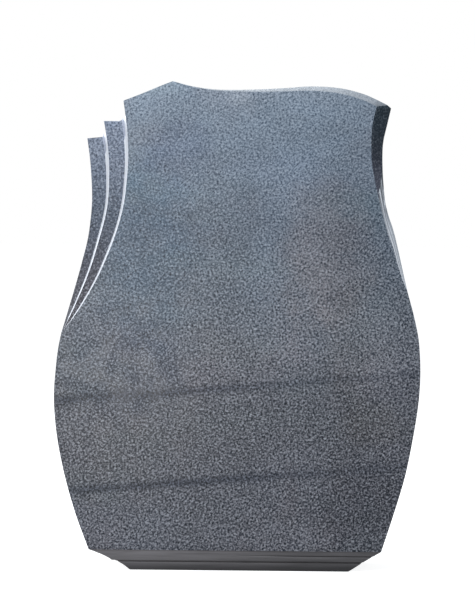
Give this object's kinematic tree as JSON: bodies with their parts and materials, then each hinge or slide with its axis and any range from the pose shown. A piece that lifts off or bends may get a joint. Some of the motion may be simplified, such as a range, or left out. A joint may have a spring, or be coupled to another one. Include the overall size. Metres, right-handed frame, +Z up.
{
  "type": "headstone",
  "caption": "Upright granite headstone with a waisted, round-bellied slab, steps carved back at the upper left, a bevelled top and a flared corner, on a low tapering foot",
  "frame": {"origin": "on the ground under the middle of the stone's box", "axes": "+Z up; the carved front faces -Y; +X is to the right of someone who looks at the front"},
  "size_m": [0.6002, 0.1, 0.8035],
  "materials": {
    "polished_granite": "polished dark grey granite with a fine pale and dark grain, bluish towards the top",
    "honed_granite": "honed dark grey granite, smooth, with faint level streaks"
  },
  "bodies": {
    "root": {"tablet": "polished_granite", "foot_upper_course": "honed_granite", "foot_lower_course": "honed_granite"}
  },
  "joints": []
}
